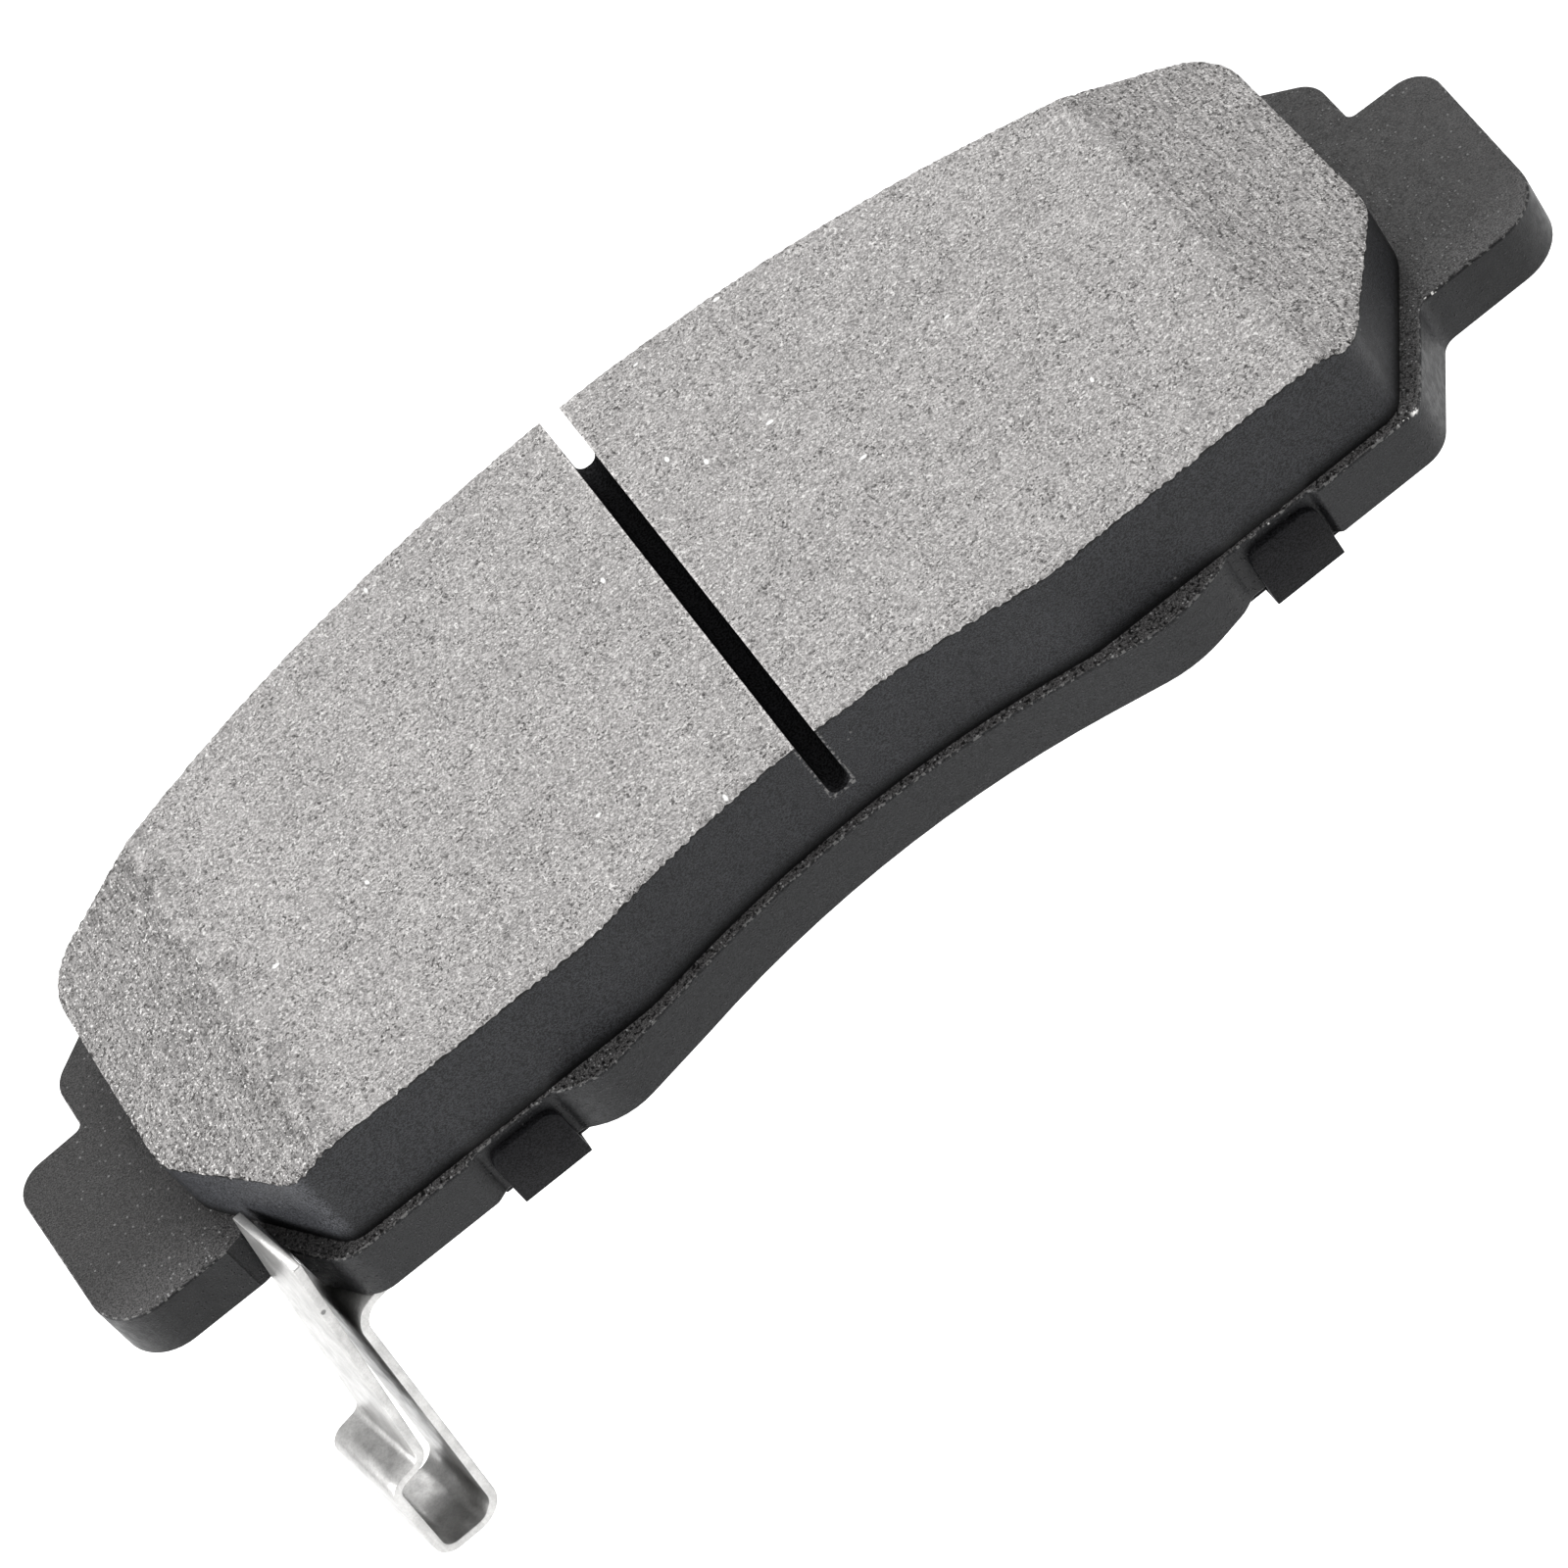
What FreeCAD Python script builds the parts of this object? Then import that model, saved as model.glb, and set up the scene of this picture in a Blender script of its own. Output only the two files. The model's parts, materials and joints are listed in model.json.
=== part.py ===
import FreeCAD, Part
import math
import os

# Disc brake pad with a clip-on noise shim and a riveted wear indicator.
# Millimetres. X runs along the pad (the disc's tangent), Y points radially outward and
# Z is the disc's axis, towards the disc. The origin is where the caliper piston's axis
# meets the back of the outer shim.

V = FreeCAD.Vector

# ---- driving dimensions ----
RUBBER_T = 0.2            # each rubber coat on the damping shim
CORE_T = 0.5              # steel core of the damping shim
SHIM_T = 0.7              # stainless outer shim
FLOAT_GAP = 0.02          # grease film between the outer shim and the damping shim
PLATE_T = 6.0             # steel backing plate
UNDERLAYER_T = 2.0        # insulating layer under the friction material
LINING_T = 8.9            # friction material above the underlayer

Z_RUBBER_BACK = SHIM_T + FLOAT_GAP
Z_CORE = Z_RUBBER_BACK + RUBBER_T
Z_RUBBER_FRONT = Z_CORE + CORE_T
Z_PLATE = Z_RUBBER_FRONT + RUBBER_T
Z_UNDERLAYER = Z_PLATE + PLATE_T
Z_LINING = Z_UNDERLAYER + UNDERLAYER_T
Z_FACE = Z_LINING + LINING_T

EAR_SEAT_Y = -17.1        # lower edge of both ears
PLATE_TOP_Y = 27.8        # top of the plate on the centre line
PLATE_TOP_R = 151.6
LINING_TOP_Y = 26.2
LINING_TOP_R = 148.0

SLOT_W = 2.1
SLOT_DEPTH = 7.5
CHAMFER_X = 50.6          # each end of the friction face slopes down from here
CHAMFER_DEG = 18.0

MOULD_HOLE_X = 26.0
MOULD_HOLE_Y = -1.0
MOULD_HOLE_R = 4.5

STRIP_T = 0.9             # wear indicator spring steel
STRIP_W = 9.2
STRIP_TURN_DEG = 12.0     # the strip's width is turned this far from Y, about Z
STRIP_NEAR = -13.4        # its near edge, measured along the strip's width
STRIP_TIP_Z = 10.4
RIVET_U = -51.5
RIVET_R = 2.0
RIVET_HEAD_R = 3.7


# ---- outline helper ----
def fillet_corner(before, corner, after, radius):
    """Return the two tangent points and the middle point of a rounded corner."""
    a = before.sub(corner).normalize()
    b = after.sub(corner).normalize()
    half = a.getAngle(b) / 2.0
    reach = radius / math.tan(half)
    middle = a.add(b).normalize().multiply(radius / math.sin(half) - radius)
    return (corner.add(V(a).multiply(reach)), corner.add(middle),
            corner.add(V(b).multiply(reach)))


def rounded_path(corners, closed=True):
    """Edges of a path through (point, radius) corners, with an arc at each radius.

    A third entry in a corner is the middle point of an arc that leads to the next one.
    """
    count = len(corners)
    stops = []
    for i, corner in enumerate(corners):
        point, radius = corner[0], corner[1]
        inner = closed or 0 < i < count - 1
        if radius > 0 and inner:
            before = corners[i - 1][0]
            after = corners[(i + 1) % count][0]
            stops.append(fillet_corner(before, point, after, radius))
        else:
            stops.append((point, None, point))
    edges = []
    for i in range(count if closed else count - 1):
        start, middle, end = stops[i]
        if middle is not None:
            edges.append(Part.Arc(start, middle, end).toShape())
        following = stops[(i + 1) % count][0]
        if len(corners[i]) > 2:
            edges.append(Part.Arc(end, corners[i][2], following).toShape())
        elif end.distanceToPoint(following) > 1e-6:
            edges.append(Part.LineSegment(end, following).toShape())
    if not closed and stops[-1][1] is not None:
        edges.append(Part.Arc(*stops[-1]).toShape())
    return edges


def slab(corners, z, thickness):
    """Extrude a closed outline of (x, y, radius) or (x, y, radius, arc_x, arc_y)."""
    path = []
    for corner in corners:
        entry = [V(corner[0], corner[1], z), corner[2]]
        if len(corner) > 3:
            entry.append(V(corner[3], corner[4], z))
        path.append(tuple(entry))
    face = Part.Face(Part.Wire(Part.__sortEdges__(rounded_path(path))))
    return face.extrude(V(0, 0, thickness))


def arc_y(x, top_y, radius):
    """Height at x of a circular top edge centred on the pad's middle."""
    return top_y - radius + math.sqrt(radius * radius - x * x)


def strip_point(u, w, z):
    """A point given along (u) and across (w) the wear indicator's own directions."""
    turn = math.radians(STRIP_TURN_DEG)
    return V(u * math.cos(turn) - w * math.sin(turn),
             u * math.sin(turn) + w * math.cos(turn), z)


def strip_slab(corners, z, thickness):
    """Extrude a closed outline given in the wear indicator's (u, w, radius)."""
    points = [strip_point(u, w, 0) for u, w, radius in corners]
    flat = [(p.x, p.y, corner[2]) for p, corner in zip(points, corners)]
    return slab(flat, z, thickness)


# ---- backing plate ----
def ear(side):
    """Outline corners of one ear, from the body's lower corner up to the shoulder."""
    return [
        (side * 55.6, -26.4, 3.5),
        (side * 61.6, EAR_SEAT_Y, 1.8),
        (side * 75.0, EAR_SEAT_Y, 5.0),
        (side * 76.0, 4.6, 3.0),
        (side * 68.3, 4.95, 0.7),
        (side * 68.4, 10.9, 3.0),
        (side * 62.0, 15.7, 6.0),
    ]


def plate_outline():
    """Closed outline of the backing plate, counter-clockwise from the lower arch."""
    top_end_y = arc_y(52.0, PLATE_TOP_Y, PLATE_TOP_R)
    right_lower = [
        (21.0, -26.15, 0.0),
        (28.9, -28.05, 12.0),
        (34.6, -26.6, 3.0),
        (35.9, -25.8, 0.6),
        (44.3, -25.8, 0.4),
        (44.9, -26.4, 0.6),
    ]
    left_lower = [
        (-21.0, -26.15, 0.0, 0.0, -23.65),
        (-30.4, -28.1, 7.0),
        (-33.9, -25.8, 0.6),
        (-41.8, -25.8, 0.6),
        (-43.0, -26.4, 1.0),
    ]
    top = [
        (52.0, top_end_y, 0.0, 0.0, PLATE_TOP_Y),
        (-52.0, top_end_y, 0.0),
    ]
    left_side = left_lower + ear(-1)
    return right_lower + ear(1) + top + list(reversed_outline(left_side))


def reversed_outline(corners):
    """Walk a list of corners backwards, keeping each arc with the pair it joins."""
    plain = [corner[:3] for corner in corners][::-1]
    first = corners[0]
    if len(first) > 3:
        plain[-1] = first
    return plain


def mould_hole_pegs(radius, z, length):
    """Round pegs where the friction mix is pressed through the plate."""
    pegs = [Part.makeCylinder(radius, length, V(side * MOULD_HOLE_X, MOULD_HOLE_Y, z))
            for side in (-1, 1)]
    return pegs[0].fuse(pegs[1])


def indicator_relief():
    """Space beside the left ear that the wear indicator passes through."""
    near = STRIP_NEAR - 0.6
    far = STRIP_NEAR + STRIP_W + 0.7
    edge = return_strip_u(Z_UNDERLAYER) + STRIP_T / 2.0 + 0.7
    corners = [(edge, near, 0.0), (edge, far, 0.8), (edge - 4.0, far, 0.8),
               (edge - 4.0, near, 0.0)]
    return strip_slab(corners, Z_PLATE - 1.0, PLATE_T + 2.0)


def make_backing_plate():
    plate = soften_outline(slab(plate_outline(), Z_PLATE, PLATE_T), 0.3)
    plate = plate.cut(mould_hole_pegs(MOULD_HOLE_R, Z_PLATE - 1.0, PLATE_T + 2.0))
    plate = plate.cut(indicator_relief())
    plate = plate.cut(rivet_hole(Z_PLATE - 1.0, PLATE_T + 2.0))
    return plate.cut(rivet_countersink())


def soften_outline(solid, radius):
    """Round off both rims of an extruded outline."""
    rims = [edge for edge in solid.Edges if edge.BoundBox.ZLength < 1e-6]
    return solid.makeFillet(radius, rims)


# ---- friction material ----
def lining_outline():
    """Closed outline shared by the underlayer and the friction material."""
    end_y = arc_y(51.0, LINING_TOP_Y, LINING_TOP_R)
    right = [
        (20.0, -24.8, 0.0),
        (23.0, -25.4, 12.0),
        (54.1, -25.4, 2.6),
        (63.2, -11.3, 6.0),
        (63.2, 14.3, 5.0),
        (51.0, end_y, 0.0, 0.0, LINING_TOP_Y),
    ]
    left = [
        (-51.0, end_y, 0.0),
        (-63.2, 14.3, 5.0),
        (-63.2, -11.3, 6.0),
        (-54.1, -25.4, 2.6),
        (-23.0, -25.4, 12.0),
        (-20.0, -24.8, 0.0, 0.0, -22.75),
    ]
    return right + left


def make_underlayer():
    """Insulating layer, with the two pegs that fill the plate's mould holes."""
    layer = slab(lining_outline(), Z_UNDERLAYER, UNDERLAYER_T)
    return layer.fuse(mould_hole_pegs(MOULD_HOLE_R, Z_PLATE, PLATE_T)).removeSplitter()


def end_chamfer(side):
    """Wedge removed from one end of the friction face."""
    reach = 20.0
    drop = reach * math.tan(math.radians(CHAMFER_DEG))
    corners = [V(side * CHAMFER_X, -60, Z_FACE), V(side * (CHAMFER_X + reach), -60, Z_FACE),
               V(side * (CHAMFER_X + reach), -60, Z_FACE - drop)]
    face = Part.Face(Part.makePolygon(corners + corners[:1]))
    return face.extrude(V(0, 120, 0))


def saw_slot():
    """Slot across the friction face, with a round-cornered floor."""
    half = SLOT_W / 2.0
    floor = Z_FACE - SLOT_DEPTH
    path = [(V(-half, -60, Z_FACE + 1), 0), (V(-half, -60, floor), 0.9),
            (V(half, -60, floor), 0.9), (V(half, -60, Z_FACE + 1), 0)]
    face = Part.Face(Part.Wire(rounded_path(path)))
    return face.extrude(V(0, 120, 0))


def make_friction_lining():
    lining = slab(lining_outline(), Z_LINING, LINING_T)
    for side in (-1, 1):
        lining = lining.cut(end_chamfer(side))
    return lining.cut(saw_slot())


# ---- shims ----
def indicator_window():
    """Corner left open in every shim for the wear indicator's foot."""
    corners = [(-46.4, -24.0, 0.0), (-46.4, -2.0, 1.5), (-80.0, -2.0, 0.0), (-80.0, -24.0, 0.0)]
    return strip_slab(corners, -2.0, Z_PLATE + 4.0)


def shim_outline(inset):
    """Shim outline: the plate's body without its ears, stepped in all round."""
    top_y = PLATE_TOP_Y - inset
    top_r = PLATE_TOP_R - inset
    end_y = arc_y(50.0, top_y, top_r)
    low_y = -25.4 + inset
    return [
        (24.0, low_y, 6.0),
        (54.6 - inset, low_y, 3.0),
        (62.5 - inset, -13.0, 3.0),
        (64.5 - inset, 10.0, 4.0),
        (50.0, end_y, 0.0, 0.0, top_y),
        (-50.0, end_y, 0.0),
        (-64.5 + inset, 10.0, 4.0),
        (-62.5 + inset, -13.0, 3.0),
        (-54.6 + inset, low_y, 3.0),
        (-24.0, low_y, 6.0),
        (-18.0, low_y + 0.9, 0.0, 0.0, low_y + 2.6),
        (18.0, low_y + 0.9, 0.0),
    ]


def damping_layer(z, thickness, inset):
    return slab(shim_outline(inset), z, thickness).cut(indicator_window())


def clip_tab(width, reach, corner_radius):
    """Tab bent forward off the shim's edge; its inner face lies on the plane y = 0."""
    blade = Part.makeBox(width, SHIM_T, reach, V(-width / 2.0, -SHIM_T, 0))
    front = [edge for edge in blade.Edges
             if edge.BoundBox.YLength > 0.1 and edge.BoundBox.ZMin > reach - 1e-6]
    blade = blade.makeFillet(corner_radius, front)
    root = Part.makeBox(width, 4.0, SHIM_T, V(-width / 2.0, -SHIM_T, 0))
    return blade.fuse(root)


def lower_tab(x):
    tab = clip_tab(6.9, 6.8, 1.5)
    tab.translate(V(x, -25.95, 0))
    return tab


def upper_tab(angle):
    """Tab hooked over the plate's curved top edge, turned about that edge's centre."""
    tab = clip_tab(9.0, 6.0, 1.5)
    tab.rotate(V(0, 0, 0), V(0, 0, 1), 180)
    tab.translate(V(0, PLATE_TOP_Y + 0.35, 0))
    tab.rotate(V(0, PLATE_TOP_Y - PLATE_TOP_R, 0), V(0, 0, 1), angle)
    return tab


def make_outer_shim():
    shim = slab(shim_outline(0.9), 0, SHIM_T).cut(indicator_window())
    tabs = [lower_tab(-37.9), lower_tab(40.6), upper_tab(-9.5), upper_tab(9.5)]
    return shim.multiFuse(tabs).removeSplitter()


# ---- wear indicator ----
def return_strip_u(z):
    """Middle of the returning part of the indicator at height z."""
    return -62.75 + 0.1476 * (z - STRIP_TIP_Z)


def indicator_path():
    """Middle line of the bent strip in its own (u, z) plane, as (u, z, bend radius)."""
    foot_z = Z_PLATE - STRIP_T / 2.0
    shelf_z = -16.7
    return [
        (-46.9, foot_z, 0.0),
        (-62.2, foot_z, 2.4),
        (-65.1, -28.3, 2.3),
        (-71.2, -27.0, 1.7),
        (-70.5, shelf_z, 1.3),
        (return_strip_u(shelf_z), shelf_z, 1.4),
        (return_strip_u(STRIP_TIP_Z), STRIP_TIP_Z, 0.0),
    ]


def offset_path(distance):
    """Corners of the strip's middle line moved sideways, with radii to match."""
    path = indicator_path()
    result = []
    for i, (u, z, radius) in enumerate(path):
        before = path[max(i - 1, 0)]
        after = path[min(i + 1, len(path) - 1)]
        first = unit(u - before[0], z - before[1]) if i > 0 else unit(after[0] - u, after[1] - z)
        second = unit(after[0] - u, after[1] - z) if i < len(path) - 1 else first
        turn = first[0] * second[1] - first[1] * second[0]
        across = (-first[1] - second[1], first[0] + second[0])
        scale = distance / (1.0 + first[0] * second[0] + first[1] * second[1])
        moved = radius
        if radius > 0:
            moved = radius - distance * math.copysign(1.0, turn)
        result.append((u + across[0] * scale, z + across[1] * scale, moved))
    return result


def unit(a, b):
    length = math.hypot(a, b)
    return (a / length, b / length)


def make_wear_indicator():
    left = offset_path(STRIP_T / 2.0)
    right = offset_path(-STRIP_T / 2.0)
    corners = [(strip_point(u, STRIP_NEAR, z), radius) for u, z, radius in left + right[::-1]]
    face = Part.Face(Part.Wire(Part.__sortEdges__(rounded_path(corners))))
    across = strip_point(0, STRIP_W, 0)
    strip = face.extrude(across)
    return strip.cut(rivet_hole(-5.0, 10.0))


def rivet_axis(z):
    return strip_point(RIVET_U, STRIP_NEAR + STRIP_W / 2.0, z)


def rivet_hole(z, length):
    return Part.makeCylinder(RIVET_R, length, rivet_axis(z))


def rivet_countersink():
    return Part.makeCone(RIVET_R, RIVET_R + 1.2, 1.2, rivet_axis(Z_UNDERLAYER - 1.2))


def make_indicator_rivet():
    """Domed head behind the strip, shank through the plate, flush countersunk end."""
    foot_back = Z_PLATE - STRIP_T
    height = 1.5
    dome_r = (RIVET_HEAD_R ** 2 + height ** 2) / (2.0 * height)
    dome = Part.makeSphere(dome_r, rivet_axis(foot_back - height + dome_r))
    head = Part.makeCylinder(RIVET_HEAD_R, height, rivet_axis(foot_back - height)).common(dome)
    shank = rivet_hole(foot_back, Z_UNDERLAYER - foot_back)
    return head.fuse(shank).fuse(rivet_countersink()).removeSplitter()


# ---- write one STEP file per piece ----
def main():
    pieces = {
        "backing_plate": make_backing_plate(),
        "underlayer": make_underlayer(),
        "friction_lining": make_friction_lining(),
        "damping_rubber_front": damping_layer(Z_RUBBER_FRONT, RUBBER_T, 1.4),
        "damping_core": damping_layer(Z_CORE, CORE_T, 1.4),
        "damping_rubber_back": damping_layer(Z_RUBBER_BACK, RUBBER_T, 1.4),
        "outer_shim": make_outer_shim(),
        "wear_indicator": make_wear_indicator(),
        "indicator_rivet": make_indicator_rivet(),
    }
    os.makedirs("parts", exist_ok=True)
    for node, shape in pieces.items():
        box = shape.BoundBox
        print(node, shape.isValid(), len(shape.Solids), round(shape.Volume, 1),
              [round(v, 2) for v in (box.XMin, box.XMax, box.YMin, box.YMax, box.ZMin, box.ZMax)])
        shape.exportStep("parts/" + node + ".step")


main()
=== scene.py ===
import json
import math

import bmesh
import bpy
import numpy as np
from mathutils import Matrix, Vector, kdtree
from mathutils.bvhtree import BVHTree
from mathutils.geometry import delaunay_2d_cdt


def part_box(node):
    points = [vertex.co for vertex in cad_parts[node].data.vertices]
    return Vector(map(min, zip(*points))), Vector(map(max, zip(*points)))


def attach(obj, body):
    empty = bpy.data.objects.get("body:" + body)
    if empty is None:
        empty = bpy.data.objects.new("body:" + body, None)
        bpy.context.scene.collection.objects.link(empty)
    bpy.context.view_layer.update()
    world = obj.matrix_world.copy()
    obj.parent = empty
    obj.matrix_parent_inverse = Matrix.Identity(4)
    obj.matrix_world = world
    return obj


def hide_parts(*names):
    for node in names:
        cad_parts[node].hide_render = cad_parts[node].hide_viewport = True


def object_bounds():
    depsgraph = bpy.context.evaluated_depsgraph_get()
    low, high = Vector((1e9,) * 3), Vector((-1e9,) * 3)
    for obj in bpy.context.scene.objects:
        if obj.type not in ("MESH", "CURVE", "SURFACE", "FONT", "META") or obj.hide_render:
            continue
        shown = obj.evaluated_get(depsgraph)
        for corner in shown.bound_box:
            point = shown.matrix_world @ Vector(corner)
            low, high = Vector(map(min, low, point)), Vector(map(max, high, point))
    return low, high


# A disc brake pad: ground friction block on a powder-coated plate, clip-on noise shim and
# a bright spring wear indicator. Metres, in the part's own frame.

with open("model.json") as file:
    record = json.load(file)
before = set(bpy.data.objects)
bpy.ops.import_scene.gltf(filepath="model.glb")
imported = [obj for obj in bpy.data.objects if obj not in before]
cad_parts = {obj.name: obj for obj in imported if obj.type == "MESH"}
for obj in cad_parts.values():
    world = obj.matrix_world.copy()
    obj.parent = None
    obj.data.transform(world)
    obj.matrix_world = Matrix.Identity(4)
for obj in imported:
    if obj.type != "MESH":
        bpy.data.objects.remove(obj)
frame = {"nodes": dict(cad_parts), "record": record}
CAD_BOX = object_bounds()
NODES = frame["nodes"]
MM = 0.001
TIGHT = 0.001 * MM            # two tolerances for telling whether places are the same
LOOSE = 0.01 * MM
rng = np.random.default_rng(7)

LINING_LOW, LINING_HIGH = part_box("friction_lining")
PLATE_LOW, PLATE_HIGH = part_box("backing_plate")
UNDERLAYER_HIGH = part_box("underlayer")[1]
EAR_SEAT_Y = [m["pos_m"][1] for m in frame["record"]["mounts"] if m["name"] == "right_ear_seat"][0]


# ---- measures of the CAD lining ----
def lining_slot():
    """Half width and depth of the slot, and where the end chamfers start."""
    co = np.array([v.co for v in NODES["friction_lining"].data.vertices])
    top = np.abs(co[co[:, 2] > LINING_HIGH.z - TIGHT, 0])
    tree = BVHTree.FromObject(NODES["friction_lining"], bpy.context.evaluated_depsgraph_get())
    floor = tree.ray_cast(Vector((0.0, 0.0, 1.0)), Vector((0.0, 0.0, -1.0)))[0].z
    return top.min(), LINING_HIGH.z - floor, top.max()


SLOT_HALF, SLOT_DEPTH, CHAMFER_X = lining_slot()
SLOT_FLOOR = LINING_HIGH.z - SLOT_DEPTH
END_LOW = min(v.co.z for v in NODES["friction_lining"].data.vertices
              if abs(v.co.x) > LINING_HIGH.x - TIGHT and v.co.z > LINING_LOW.z + 0.1 * MM)
CHAMFER_SLOPE = (LINING_HIGH.z - END_LOW) / (LINING_HIGH.x - CHAMFER_X)

# ---- mesh of the friction block ----
FACE_STEP = 0.30 * MM        # spacing of the points on the friction face
RING_STEP = 0.34 * MM        # spacing of the points round the block's outline
RING_PASSES = 4              # smoothing passes on the outline
RING_CLEAR = 0.6             # gap between the outline and the face's inner points, in steps
JITTER = 0.22                # how far a face point is moved at random, in steps
WALL_ROWS = 14               # rows of faces up the block's wall
LAYER_ROWS = 4               # rows of faces up the underlayer's wall
PEG_SIDES = 64
CORNER_SHARE = 0.92          # radius of the slot's floor corners, in half widths of the slot
CORNER_STEP = 15             # degrees between the points of those corners
CUT_ABOVE = 2 * MM           # how far the slot's cutter stands out of the face
CUT_PAST = 5 * MM            # and past the long edges
TEST_BATCH = 8000            # points tested against the outline at a time
BLOCK_CREASE = 50            # degrees; sharper edges of the block stay hard
OFF_FACE = 1.0               # gap given to points that aren't on the friction face

# ---- edges of the bent sheet pieces, in degrees ----
FLAT_ANGLE = 0.6             # faces that turn by less are merged
ROUNDED_ANGLE = 35           # edges that turn by more are rounded
SHEET_CREASE = 30

# ---- wear of the friction face: the first of a pair is on the chamfers ----
PIT_SHARE = (0.060, 0.030)
PIT_LEAST = 0.05 * MM
PIT_MORE = 0.16 * MM         # on top of that, in the deepest pits
GRIND_DEPTH = 0.022 * MM
RIM_REACH = 0.30 * MM        # width of the chipped rim
RIM_CHIP = (0.46 * MM, 0.34 * MM)
RIM_LEAST = 0.03 * MM
FAR_SIDE_CHIPS = 0.4         # how much of a chip is left on the far long edge
SLOT_CHIP = 0.12 * MM
SLOT_RIM = 0.02 * MM         # how near the slot a point counts as its edge
FRAY_REACH = 1.4 * MM        # width of the band that the "edge" attribute marks

# ---- marks: where they are, and how far they reach ----
SCAR = (55.3 * MM, -26.4 * MM, PLATE_HIGH.z)
SCAR_REACH = 0.8 * MM
# Chips in the coat; at these rim points the bright steel is also a painted highlight.
COAT_CHIPS_AND_GLINTS = [((62.8 * MM, EAR_SEAT_Y, PLATE_HIGH.z), 1.3 * MM),
              ((54.9 * MM, -26.0 * MM, PLATE_HIGH.z), 1.9 * MM),
              ((40.7 * MM, -26.2 * MM, PLATE_HIGH.z), 0.9 * MM),
              ((29.6 * MM, -27.3 * MM, PLATE_LOW.z), 0.9 * MM)]
POCK = (-59.6 * MM, -26.4 * MM, 4.6 * MM)
POCK_REACH = 0.34 * MM
SHELF_LOW_Z = -24 * MM       # the indicator's shelf is painted lighter from here
SHELF_HIGH_Z = -20 * MM      # to here

# ---- colours ----
FRICTION_GREY = (0.268, 0.260, 0.256)
PORE_BLACK = (0.032, 0.030, 0.029)
GRIT_PALE = (0.58, 0.57, 0.56)
FLECK_WHITE = (0.66, 0.66, 0.65)
COAT_CHARCOAL = (0.0138, 0.0142, 0.0158)
COAT_SPECK = (0.24, 0.235, 0.23)
# The next colour is painted shade in the sawn slot.
SLOT_SHADE_BLACK = (0.011, 0.011, 0.012)
POWDER_SIDE = (0.0100, 0.0102, 0.0110)
# The next colour holds a painted sheen on the plate's pressed front.
POWDER_FRONT_SHEEN = (0.0270, 0.0262, 0.0262)
POWDER_LUMP = (0.30, 0.30, 0.30)
# The next colour is bare steel, also used as a painted highlight on the plate's rims.
BARE_STEEL_AND_GLINT = (0.75, 0.74, 0.72)
SHIM_BLACK = (0.0060, 0.0060, 0.0067)
SPRING_STEEL = (0.425, 0.421, 0.414)
POCK_GREY = (0.10, 0.10, 0.10)
CORE_STEEL = (0.42, 0.42, 0.42)
RIVET_STEEL = (0.62, 0.61, 0.58)
RUBBER_BLACK = (0.017, 0.017, 0.0165)
FLOOR_WHITE = (0.96, 0.96, 0.96)

# ---- studio ----
LENS_MM = 144.0
SENSOR_MM = 36.0
CAMERA_AT = Vector((0.002820, -0.372085, 0.378796))
CAMERA_RIGHT = Vector((0.78274, -0.44162, -0.43851)).normalized()
CAMERA_BACK = Vector((0.01251, -0.69330, 0.72054))
CAMERA_BACK = (CAMERA_BACK - CAMERA_BACK.dot(CAMERA_RIGHT) * CAMERA_RIGHT).normalized()
CAMERA_UP = CAMERA_BACK.cross(CAMERA_RIGHT)
WORLD_STRENGTH = 0.62
FLOOR_HALF = 6.0
FLOOR_DROP = 0.12            # how far the floor lies below the pad


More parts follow.
